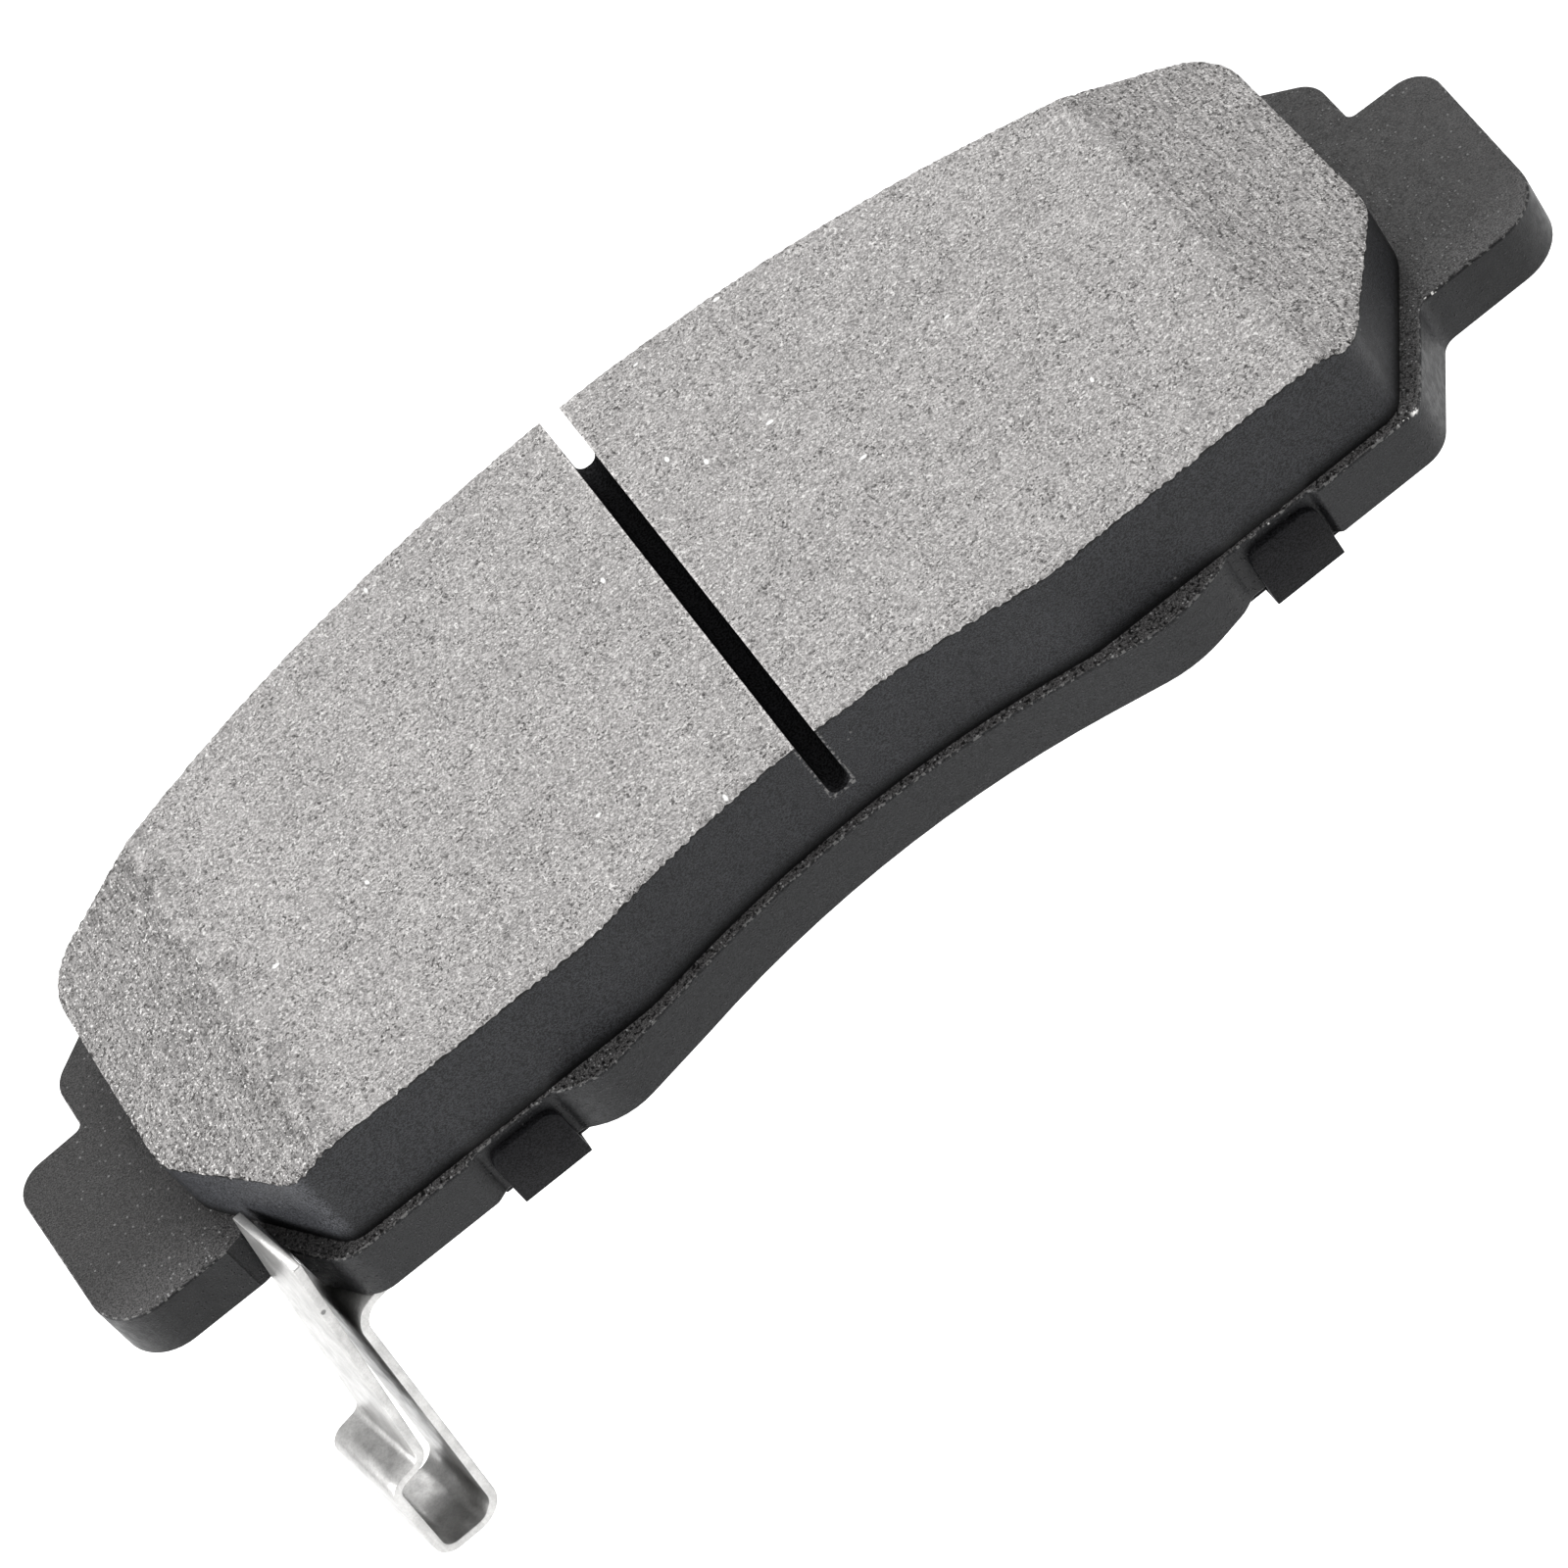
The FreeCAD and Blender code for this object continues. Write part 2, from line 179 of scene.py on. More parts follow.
# ---- node graph helper ----
class Graph:
    """A Principled material and short calls for the nodes that drive it."""

    def __init__(self, name, **sockets):
        self.material = bpy.data.materials.new(name)
        self.material.use_nodes = True
        self.tree = self.material.node_tree
        self.shader = self.tree.nodes["Principled BSDF"]
        for socket, value in sockets.items():
            self.shader.inputs[socket.replace("_", " ")].default_value = value
        self.where = self.add("ShaderNodeTexCoord").outputs["Object"]

    def add(self, kind, **settings):
        node = self.tree.nodes.new(kind)
        for key, value in settings.items():
            setattr(node, key, value)
        return node

    def put(self, socket, value):
        if isinstance(value, bpy.types.NodeSocket):
            self.tree.links.new(value, socket)
        else:
            socket.default_value = value

    def math(self, operation, a, b=0.0, c=0.0):
        node = self.add("ShaderNodeMath", operation=operation)
        for socket, value in zip(node.inputs, (a, b, c)):
            self.put(socket, value)
        return node.outputs[0]

    def product(self, first, *others):
        for other in others:
            first = self.math("MULTIPLY", first, other)
        return first

    def linear(self, value, slope, offset):
        return self.math("MULTIPLY_ADD", value, slope, offset)

    def mapped(self, scale, turn):
        node = self.add("ShaderNodeMapping")
        self.put(node.inputs["Vector"], self.where)
        node.inputs["Scale"].default_value = scale
        node.inputs["Rotation"].default_value = (0.0, 0.0, turn)
        return node.outputs[0]

    def noise(self, size, detail=2.0, rough=0.5, scale=(1, 1, 1), turn=0.0):
        """Noise from 0 to 1 whose lumps are about `size` metres across."""
        node = self.add("ShaderNodeTexNoise")
        self.put(node.inputs["Vector"], self.mapped(scale, turn))
        node.inputs["Scale"].default_value = 1.0 / size
        node.inputs["Detail"].default_value = detail
        node.inputs["Roughness"].default_value = rough
        return node.outputs[0]

    def spots(self, size, radius, share, scale=(1, 1, 1), turn=0.0):
        """1 inside scattered round spots, one per cell `size` wide, in `share` of the cells."""
        node = self.add("ShaderNodeTexVoronoi")
        self.put(node.inputs["Vector"], self.mapped(scale, turn))
        node.inputs["Scale"].default_value = 1.0 / size
        inside = self.ramp(node.outputs["Distance"], radius, radius * 0.6)
        pick = self.add("ShaderNodeSeparateColor")
        self.put(pick.inputs[0], node.outputs["Color"])
        return self.product(inside, self.math("LESS_THAN", pick.outputs[0], share))

    def ramp(self, value, low, high, out_low=0.0, out_high=1.0):
        """A smooth step from out_low at `low` to out_high at `high`."""
        node = self.add("ShaderNodeMapRange", interpolation_type="SMOOTHSTEP")
        for socket, number in zip(node.inputs, (value, low, high, out_low, out_high)):
            self.put(socket, number)
        return node.outputs[0]

    def spread(self, value, low, high):
        """A noise value stretched over the range from low to high."""
        return self.ramp(value, 0.3, 0.7, low, high)

    def mix(self, factor, a, b):
        node = self.add("ShaderNodeMix", data_type="RGBA")
        self.put(node.inputs["Factor"], factor)
        for key, value in (("A", a), ("B", b)):
            socket = [s for s in node.inputs if s.name == key and s.type == "RGBA"][0]
            self.put(socket, value if isinstance(value, bpy.types.NodeSocket) else (*value, 1.0))
        return [s for s in node.outputs if s.type == "RGBA"][0]

    def tint(self, color, gain):
        """A colour times a grey factor."""
        node = self.add("ShaderNodeVectorMath", operation="SCALE")
        self.put(node.inputs[0], color)
        self.put(node.inputs["Scale"], gain)
        return node.outputs[0]

    def axis(self, name):
        """One coordinate in the part's frame."""
        split = self.add("ShaderNodeSeparateXYZ")
        self.put(split.inputs[0], self.where)
        return split.outputs[name]

    def facing(self, name):
        """One component of the surface normal in the part's frame."""
        split = self.add("ShaderNodeSeparateXYZ")
        self.put(split.inputs[0], self.add("ShaderNodeNewGeometry").outputs["Normal"])
        return split.outputs[name]

    def attribute(self, name):
        return self.add("ShaderNodeAttribute", attribute_name=name).outputs["Fac"]

    def near(self, point, reach):
        """1 close to a point of the part, falling to 0 at `reach` metres."""
        node = self.add("ShaderNodeVectorMath", operation="DISTANCE")
        self.put(node.inputs[0], self.where)
        node.inputs[1].default_value = point
        return self.ramp(node.outputs["Value"], reach, reach * 0.5)

    def color(self, value):
        self.put(self.shader.inputs["Base Color"], value)

    def rough(self, value):
        self.put(self.shader.inputs["Roughness"], value)

    def bump(self, height, depth, strength):
        node = self.add("ShaderNodeBump")
        node.inputs["Strength"].default_value = strength
        node.inputs["Distance"].default_value = depth
        self.put(node.inputs["Height"], height)
        self.put(self.shader.inputs["Normal"], node.outputs[0])


# ---- materials ----
def ground_friction():
    """Ground friction mix: warm grey, dark pores, bright metal and mineral flecks."""
    g = Graph("ground_friction", Specular_IOR_Level=0.22)
    across_x = g.math("ABSOLUTE", g.axis("X"))
    wander = g.linear(g.noise(1.6 * MM, 3.0), 3.0 * MM, -1.5 * MM)
    chamfer = g.ramp(g.math("ADD", across_x, wander), CHAMFER_X - 0.5 * MM, CHAMFER_X + 0.7 * MM)

    # Fine grain, and grinding marks that run across the chamfers and along the flat.
    grain = g.spread(g.noise(0.19 * MM, rough=0.6), 0.58, 1.42)
    blotch = g.spread(g.noise(7.0 * MM, 3.0), 0.96, 1.04)
    along = g.product(g.noise(0.22 * MM, scale=(0.12, 1, 1)), g.math("SUBTRACT", 1.0, chamfer))
    across = g.product(g.noise(0.22 * MM, scale=(1, 0.12, 1)), chamfer)
    contrast = g.linear(chamfer, 0.14, 0.14)
    marks = g.spread(g.math("ADD", along, across),
                     g.math("SUBTRACT", 1.0, contrast), g.math("ADD", 1.0, contrast))
    shade = g.product(grain, blotch, marks)

    # Painted shade darkens the chamfers, and they are mottled where they start, both mostly on the
    # left.
    from_edge = g.math("ABSOLUTE", g.math("SUBTRACT", across_x, CHAMFER_X))
    mottle = g.product(g.ramp(from_edge, 4.5 * MM, 0.5 * MM),
                       g.ramp(g.noise(1.8 * MM, 3.0), 0.45, 0.62))
    left = g.ramp(g.axis("X"), 2 * MM, -2 * MM, 0.07, 0.31)
    for stain_and_shade in (mottle, chamfer):
        shade = g.product(shade, g.math("SUBTRACT", 1.0, g.product(stain_and_shade, left)))

    # A painted highlight makes the edges of the slot paler.
    slot_edge_highlight = g.product(g.ramp(across_x, SLOT_HALF + 0.34 * MM, SLOT_HALF + 0.16 * MM),
                          g.ramp(g.noise(0.5 * MM), 0.36, 0.56, 0.1, 0.5))
    body = g.tint(FRICTION_GREY, g.product(shade, g.math("ADD", slot_edge_highlight, 1.0)))

    # Pores lie in clusters on the flat and everywhere on the chamfers.
    cluster = g.math("MAXIMUM", g.ramp(g.noise(2.6 * MM), 0.35, 0.65, 0.35, 1.0), chamfer)
    frayed = g.product(g.attribute("edge"), chamfer)
    small = g.ramp(g.noise(0.32 * MM, rough=0.65),
                   g.linear(frayed, 0.05, 0.415), g.linear(frayed, 0.05, 0.375))
    large = g.ramp(g.noise(0.5 * MM, 3.0, 0.7), 0.372, 0.340)
    pores = g.product(g.math("MAXIMUM", small, large), cluster)
    pores = g.math("MAXIMUM", pores, g.attribute("pit"))
    body = g.mix(g.product(pores, 0.90), body, PORE_BLACK)

    pale = g.product(g.ramp(g.noise(0.30 * MM, rough=0.65, turn=0.7), 0.605, 0.65),
                     g.linear(frayed, 0.15, 0.82))
    body = g.mix(pale, body, GRIT_PALE)
    fleck = g.math("MAXIMUM", g.spots(3.6 * MM, 0.070, 0.4, (1, 0.55, 1), 0.6),
                   g.spots(4.4 * MM, 0.055, 0.4, (0.55, 1, 1), 0.35))
    g.color(g.mix(fleck, body, FLECK_WHITE))
    g.rough(g.linear(fleck, -0.4, 0.84))
    g.bump(g.math("SUBTRACT", g.product(grain, 0.5), pores), 0.06 * MM, 0.8)
    return g.material


def block_coat():
    """Matt charcoal on the moulded sides, darker at the ground rim, with painted shade low on the wall.
    """
    g = Graph("block_coat", Specular_IOR_Level=0.17)
    normal_x = g.facing("X")
    height = g.axis("Z")
    across_x = g.math("ABSOLUTE", g.axis("X"))

    # Painted shade darkens the right end wall, and a painted highlight makes the rounded left corner
    # pale.
    end_wall_shade = g.ramp(normal_x, 0.75, 0.95, 1.0, 0.2)
    left_corner_highlight = g.product(g.ramp(normal_x, -0.15, -0.45), g.ramp(normal_x, -0.97, -0.75))
    grain = g.noise(0.15 * MM, rough=0.6)
    fine = g.product(g.spread(grain, 0.05, 1.95), end_wall_shade, g.linear(left_corner_highlight, 1.1, 1.0))
    broad = g.spread(g.noise(9 * MM), 0.94, 1.06)
    # Painted shade: the wall darkens towards the bottom, where it meets the plate.
    foot_shade = g.ramp(height, PLATE_HIGH.z, PLATE_HIGH.z + 2.0 * MM, 0.05, 1.0)

    # A ragged dark line just below the friction face.
    past = g.math("MAXIMUM", g.math("SUBTRACT", across_x, CHAMFER_X), 0.0)
    face = g.linear(past, -CHAMFER_SLOPE, LINING_HIGH.z)
    ragged = g.linear(g.noise(0.4 * MM, 3.0), 0.5 * MM, -0.25 * MM)
    below = g.math("ADD", g.math("SUBTRACT", face, height), ragged)
    rim = g.ramp(below, 0.22 * MM, 0.50 * MM, 0.02, 1.0)
    body = g.tint(COAT_CHARCOAL, g.product(fine, broad, foot_shade, rim))

    # Pale specks, and a broken pale burr round the end of the slot.
    speck = g.product(g.spots(2.6 * MM, 0.06, 0.3), 0.25)
    burr = g.product(g.ramp(across_x, SLOT_HALF + 0.30 * MM, SLOT_HALF + 0.12 * MM),
                     g.ramp(g.noise(0.4 * MM), 0.48, 0.56, 0.0, 0.45),
                     g.ramp(height, SLOT_FLOOR - 0.35 * MM, SLOT_FLOOR - 0.15 * MM))
    g.color(g.mix(g.math("MAXIMUM", speck, burr), body, COAT_SPECK))
    g.rough(g.spread(g.noise(1.2 * MM), 0.44, 0.54))
    g.bump(grain, 0.08 * MM, 0.8)
    return g.material


def slot_black():
    """The sawn slot, painted near-black as shade in the narrow recess."""
    g = Graph("slot_black", Roughness=0.9, Specular_IOR_Level=0.08)
    slot_grain = g.noise(0.2 * MM)
    g.color(g.tint(SLOT_SHADE_BLACK, g.spread(slot_grain, 0.1, 1.9)))
    g.bump(slot_grain, 0.03 * MM, 0.5)
    return g.material


def powder_coat():
    """Black powder coat: grainy on the pressed front, smoother on the sheared sides."""
    g = Graph("powder_coat", Specular_IOR_Level=0.2)
    across_x = g.math("ABSOLUTE", g.axis("X"))
    normal_z = g.facing("Z")
    front = g.ramp(normal_z, 0.6, 0.9)
    rim = g.product(g.ramp(normal_z, 0.2, 0.4), g.ramp(normal_z, 0.97, 0.85))

    # The coat is coarser below the ears, and near the block most of all on the right.
    inboard = g.ramp(g.axis("Y"), EAR_SEAT_Y + 7 * MM, EAR_SEAT_Y - 2 * MM)
    close = g.ramp(across_x, LINING_HIGH.x + 11 * MM, LINING_HIGH.x + 3 * MM)
    beside = g.product(close, g.ramp(g.axis("X"), -1 * MM, 1 * MM, 0.35, 0.80))
    near_block = g.math("MAXIMUM", g.product(inboard, close), beside)

    # Painted light: the pressed front is coloured lighter than the sheared sides as painted sheen, and
    # the sides by the ears darker as painted shade.
    ear_side_shade = g.ramp(across_x, LINING_HIGH.x + 1 * MM, LINING_HIGH.x + 4 * MM, 1.0, 0.68)
    body = g.mix(front, g.tint(POWDER_SIDE, ear_side_shade), POWDER_FRONT_SHEEN)
    fine = g.ramp(g.noise(0.15 * MM, rough=0.65), 0.28, 0.72, 0.15, 1.85)
    # Painted light: the front below the ears is coloured lighter, against the block's shadow there.
    body = g.tint(body, g.product(fine, g.linear(g.product(inboard, front), 1.1, 1.0)))

    # Pale lumps and dark pits in the coat.
    lump = g.spots(0.42 * MM, 0.32, g.linear(near_block, 0.45, 0.04))
    pale = g.product(lump, front, g.linear(inboard, 0.25, 0.38))
    dark = g.product(g.ramp(g.noise(0.35 * MM, rough=0.65), 0.445, 0.41), front,
                     g.linear(near_block, 0.80, 0.12))
    body = g.tint(g.mix(pale, body, POWDER_LUMP), g.math("SUBTRACT", 1.0, dark))

    # Bare steel where the edges are chipped, and one scar on the front; the bright steel along the rims
    # is also a painted highlight.
    bare_and_glint = 0.10
    for point, reach in COAT_CHIPS_AND_GLINTS:
        bare_and_glint = g.math("MAXIMUM", bare_and_glint, g.near(point, reach))
    worn = g.ramp(g.noise(0.45 * MM), 0.52, 0.62)
    chip = g.product(rim, g.ramp(worn, 0.2, 0.8), bare_and_glint)
    scar = g.product(g.near(SCAR, SCAR_REACH), g.ramp(g.noise(0.5 * MM, 3.0), 0.44, 0.54))
    g.color(g.mix(g.math("MAXIMUM", chip, scar), body, BARE_STEEL_AND_GLINT))
    g.rough(g.spread(g.noise(0.8 * MM), 0.40, 0.52))
    lumps = g.product(g.noise(0.2 * MM, rough=0.65), g.ramp(front, 0.0, 1.0, 0.35, 1.0))
    g.bump(g.math("ADD", lumps, g.product(lump, near_block)), 0.10 * MM, 0.8)
    return g.material


def shim_paint():
    """Thin black paint on the noise shim, duller than the plate."""
    g = Graph("shim_paint", Specular_IOR_Level=0.05)
    grain = g.noise(0.15 * MM, rough=0.65)
    broad = g.spread(g.noise(12 * MM, 3.0), 0.85, 1.15)
    g.color(g.tint(SHIM_BLACK, g.product(g.spread(grain, 0.1, 1.9), broad)))
    g.rough(g.spread(g.noise(3 * MM, 3.0), 0.44, 0.56))
    g.bump(grain, 0.05 * MM, 0.6)
    return g.material


def bright_spring():
    """Zinc-bright spring steel, with painted shade in its folds and a dark pock mark."""
    g = Graph("bright_spring", Metallic=0.75)
    lines = g.noise(0.30 * MM, scale=(1, 1, 0.07))
    brushed = g.product(g.spread(g.noise(0.2 * MM), 0.92, 1.06), g.spread(lines, 0.93, 1.05))
    cloud = g.spread(g.noise(2.2 * MM, 3.0), 0.84, 1.10)
    # Painted shade: the colour darkens where the ambient occlusion is low, inside the loop.
    hidden = g.add("ShaderNodeAmbientOcclusion", samples=8)
    hidden.inputs["Distance"].default_value = 7.0 * MM
    fold_shade = g.ramp(hidden.outputs["AO"], 0.12, 0.55, 0.31, 1.0)

    # Painted light and shade: each face of the bent strip has its own brightness, and the shelf is
    # painted lighter with height.
    side = g.ramp(g.math("ABSOLUTE", g.facing("Y")), 0.88, 0.96, 1.0, 1.20)
    outer = g.ramp(g.facing("X"), -0.55, -0.85, 1.0, 0.80)
    above = g.ramp(g.axis("Z"), SHELF_LOW_Z, SHELF_HIGH_Z, -0.12, 0.42)
    shelf = g.linear(g.ramp(g.facing("Z"), 0.6, 0.9), above, 1.0)
    body = g.tint(SPRING_STEEL, g.product(cloud, brushed, fold_shade, side, outer, shelf))
    pock = g.math("MAXIMUM", g.near(POCK, POCK_REACH), g.spots(2.4 * MM, 0.05, 0.25))
    g.color(g.mix(g.product(pock, 0.8), body, POCK_GREY))
    g.rough(g.spread(g.noise(1.5 * MM, 3.0), 0.30, 0.42))
    g.bump(g.math("ADD", lines, g.noise(0.5 * MM)), 0.008 * MM, 0.3)
    return g.material


def dull_steel(name, color, roughness):
    """Bare or zinc-plated steel with a slight cloudiness."""
    g = Graph(name, Metallic=1.0)
    g.color(g.tint(color, g.spread(g.noise(1.4 * MM, 3.0), 0.85, 1.08)))
    g.rough(g.spread(g.noise(0.6 * MM), roughness - 0.07, roughness + 0.09))
    g.bump(g.noise(0.2 * MM), 0.01 * MM, 0.3)
    return g.material


def rubber_coat():
    """Soft black rubber on both faces of the damping shim."""
    g = Graph("rubber_coat", Specular_IOR_Level=0.35)
    g.color(g.tint(RUBBER_BLACK, g.spread(g.noise(0.2 * MM, 3.0), 0.8, 1.2)))
    g.rough(g.spread(g.noise(0.9 * MM), 0.62, 0.78))
    g.bump(g.noise(0.15 * MM), 0.01 * MM, 0.4)
    return g.material


def floor_paint():
    """White studio floor, very slightly uneven."""
    g = Graph("floor_white", Roughness=0.9, Specular_IOR_Level=0.1)
    g.color(g.tint(FLOOR_WHITE, g.spread(g.noise(0.4), 0.985, 1.0)))
    return g.material


# ---- outline of the block ----
def welded(node):
    """A bmesh of a CAD node with its split vertices joined."""
    bm = bmesh.new()
    bm.from_mesh(NODES[node].data)
    bmesh.ops.remove_doubles(bm, verts=bm.verts, dist=TIGHT)
    return bm


def footprint(node):
    """Corner points of a node's lower flat face, in order, as (x, y)."""
    bm = welded(node)
    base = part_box(node)[0].z
    under = {f for f in bm.faces if f.normal.z < -0.99 and abs(f.calc_center_median().z - base) < LOOSE}
    rim = [e for e in bm.edges if sum(f in under for f in e.link_faces) == 1]
    beside = {}
    for edge in rim:
        for here, there in (edge.verts, reversed(edge.verts)):
            beside.setdefault(here, []).append(there)
    loop = [rim[0].verts[0], beside[rim[0].verts[0]][0]]
    while len(loop) < len(rim):
        loop.append([v for v in beside[loop[-1]] if v is not loop[-2]][0])
    points = np.array([(v.co.x, v.co.y) for v in loop])
    bm.free()
    return points


def even_ring(points, step):
    """The same outline with evenly spaced, slightly smoothed points, anticlockwise."""
    closed = np.vstack([points, points[:1]])
    along = np.concatenate([[0.0], np.cumsum(np.linalg.norm(np.diff(closed, axis=0), axis=1))])
    at = np.linspace(0.0, along[-1], round(along[-1] / step), endpoint=False)
    ring = np.stack([np.interp(at, along, closed[:, k]) for k in (0, 1)], axis=1)
    for _ in range(RING_PASSES):
        ring = 0.25 * np.roll(ring, 1, 0) + 0.5 * ring + 0.25 * np.roll(ring, -1, 0)
    area = np.sum(ring[:, 0] * np.roll(ring[:, 1], -1) - np.roll(ring[:, 0], -1) * ring[:, 1])
    return ring if area > 0 else ring[::-1]


def inside_ring(points, ring):
    """Which points lie inside the closed ring."""
    after = np.roll(ring, -1, 0)
    rise = after[:, 1] - ring[:, 1]
    rise[rise == 0] = 1e-12
    result = np.zeros(len(points), bool)
    for first in range(0, len(points), TEST_BATCH):
        part = points[first:first + TEST_BATCH]
        crosses = (ring[:, 1] > part[:, 1:]) != (after[:, 1] > part[:, 1:])
        at = ring[:, 0] + (after[:, 0] - ring[:, 0]) * (part[:, 1:] - ring[:, 1]) / rise
        result[first:first + TEST_BATCH] = (crosses & (part[:, :1] < at)).sum(1) % 2 == 1
    return result


def ring_gaps(points, ring):
    """Distance from each (x, y) point to the nearest point of the ring."""
    tree = kdtree.KDTree(len(ring))
    for i, (x, y) in enumerate(ring):
        tree.insert((x, y, 0.0), i)
    tree.balance()
    return np.array([tree.find((x, y, 0.0))[2] for x, y in points])


def lattice(ring, step):
    """Points of a jittered triangular lattice inside the ring, clear of it."""
    low, high = ring.min(0), ring.max(0)
    x, y = np.meshgrid(np.arange(low[0], high[0], step),
                       np.arange(low[1], high[1], step * math.sqrt(3) / 2))
    x[1::2] += step / 2
    points = np.stack([x.ravel(), y.ravel()], axis=1)
    points = points[inside_ring(points, ring)]
    points = points[ring_gaps(points, ring) > RING_CLEAR * step]
    return points + rng.uniform(-JITTER, JITTER, points.shape) * step


def face_height(x):
    """Height of the friction face at x: flat, with a slope at each end."""
    return LINING_HIGH.z - np.maximum(0.0, np.abs(x) - CHAMFER_X) * CHAMFER_SLOPE


# ---- shared steps ----
def add_object(name, data):
    thing = bpy.data.objects.new(name, data)
    bpy.context.scene.collection.objects.link(thing)
    return thing


def add_piece(name, mesh, node, body):
    """A finer piece in place of a CAD node."""
    piece = add_object(name, mesh)
    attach(piece, body)
    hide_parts(node)
    return piece


def combine(piece, tool, operation):
    """Exact Boolean of a piece with a tool object, which is then removed."""
    modifier = piece.modifiers.new("combine", "BOOLEAN")
    modifier.object = tool
    modifier.operation = operation
    modifier.solver = "EXACT"
    graph = bpy.context.evaluated_depsgraph_get()
    mesh = bpy.data.meshes.new_from_object(piece.evaluated_get(graph))
    piece.modifiers.clear()
    piece.data = mesh
    bpy.data.objects.remove(tool)


def shade_smooth(mesh, crease):
    """Smooth shading with hard edges where the faces turn by more than `crease` degrees."""
    for face in mesh.polygons:
        face.use_smooth = True
    mesh.set_sharp_from_angle(angle=math.radians(crease))


# ---- friction block and underlayer ----
def block_mesh(name, ring, low, high_of):
    """Closed block on the ring: fine top face, ruled walls and a flat bottom."""
    inner = lattice(ring, FACE_STEP)
    count = len(ring)
    scaled = [Vector(p) for p in np.vstack([ring, inner]) / MM]
    rim = [(i, (i + 1) % count) for i in range(count)]
    found, _, triangles, sources, _, _ = delaunay_2d_cdt(scaled, rim, [], 1, 1e-6)
    flat = np.array(found) * MM
    order = {source: i for i, group in enumerate(sources) for source in group}
    top = np.column_stack([flat, high_of(flat[:, 0])])
    rows = []
    for k in range(WALL_ROWS):
        z = low + k / WALL_ROWS * (high_of(ring[:, 0]) - low)
        rows.append(np.column_stack([ring, z]))
    verts = np.vstack([top] + rows)
    faces = [tuple(t) for t in triangles]
    start = len(top)
    for k in range(WALL_ROWS):
        for i in range(count):
            j = (i + 1) % count
            a, b = start + k * count + i, start + k * count + j
            if k + 1 < WALL_ROWS:
                c, d = b + count, a + count
            else:
                c, d = order[j], order[i]
            faces.append((a, b, c, d))
    faces.append(tuple(start + i for i in reversed(range(count))))
    mesh = bpy.data.meshes.new(name)
    mesh.from_pydata(verts.tolist(), [], faces)
    mesh.validate()
    mesh.update()
    return mesh


def slot_cutter():
    """A bar as wide as the saw slot, with rounded lower corners."""
    radius = CORNER_SHARE * SLOT_HALF
    top = LINING_HIGH.z + CUT_ABOVE
    profile = [(-SLOT_HALF, top), (-SLOT_HALF, SLOT_FLOOR + radius)]
    for side, angles in ((-1, range(CORNER_STEP, 91, CORNER_STEP)), (1, range(90, -1, -CORNER_STEP))):
        centre = side * (SLOT_HALF - radius)
        for angle in angles:
            turn = math.radians(angle)
            profile.append((centre + side * radius * math.cos(turn),
                            SLOT_FLOOR + radius - radius * math.sin(turn)))
    profile.append((SLOT_HALF, top))
    ends = [LINING_LOW.y - CUT_PAST, LINING_HIGH.y + CUT_PAST]
    verts = [(x, y, z) for y in ends for x, z in profile]
    n = len(profile)
    faces = [(i, (i + 1) % n, n + (i + 1) % n, n + i) for i in range(n)]
    faces += [tuple(reversed(range(n))), tuple(range(n, 2 * n))]
    mesh = bpy.data.meshes.new("slot_cutter")
    mesh.from_pydata(verts, [], faces)
    bm = bmesh.new()
    bm.from_mesh(mesh)
    bmesh.ops.recalc_face_normals(bm, faces=bm.faces)
    bm.to_mesh(mesh)
    bm.free()
    return add_object("slot_cutter", mesh)


def add_values(mesh, name, values):
    layer = mesh.attributes.new(name, "FLOAT", "POINT")
    layer.data.foreach_set("value", values.astype(np.float32))


def wear_face(mesh, ring):
    """Pits and grinding marks in the face, and small chips along its rim and the slot."""
    co = np.zeros(len(mesh.vertices) * 3)
    mesh.vertices.foreach_get("co", co)
    co = co.reshape(-1, 3)
    on_face = np.abs(co[:, 2] - face_height(co[:, 0])) < TIGHT
    gap = np.full(len(co), OFF_FACE)
    gap[on_face] = ring_gaps(co[on_face, :2], ring)
    slot_gap = np.where(on_face, np.abs(np.abs(co[:, 0]) - SLOT_HALF), OFF_FACE)
    rim = on_face & (gap < RIM_REACH)
    slope = np.abs(co[:, 0]) > CHAMFER_X
    far_side = co[:, 1] > 0.5 * (LINING_LOW.y + LINING_HIGH.y)

    pit = rng.random(len(co)) < np.where(slope, *PIT_SHARE)
    deep = rng.random(len(co)) ** 2
    drop = np.where(pit, PIT_LEAST + PIT_MORE * deep, 0.0)
    drop += rng.uniform(0.0, GRIND_DEPTH, len(co))
    chip = rng.random(len(co)) ** 1.5 * np.where(slope, *RIM_CHIP)
    chip *= np.where(far_side, FAR_SIDE_CHIPS, 1.0)
    drop = np.where(rim, chip + RIM_LEAST, drop)
    drop = np.where((slot_gap < SLOT_RIM) & ~rim, rng.random(len(co)) ** 4 * SLOT_CHIP, drop)
    co[:, 2] -= np.where(on_face, drop, 0.0)
    mesh.vertices.foreach_set("co", co.ravel())
    add_values(mesh, "pit", np.where(on_face & pit & ~rim, 0.35 + 0.65 * deep, 0.0))
    add_values(mesh, "edge", np.where(on_face, np.clip(1.0 - gap / FRAY_REACH, 0.0, 1.0), 0.0))
    mesh.update()
    return on_face


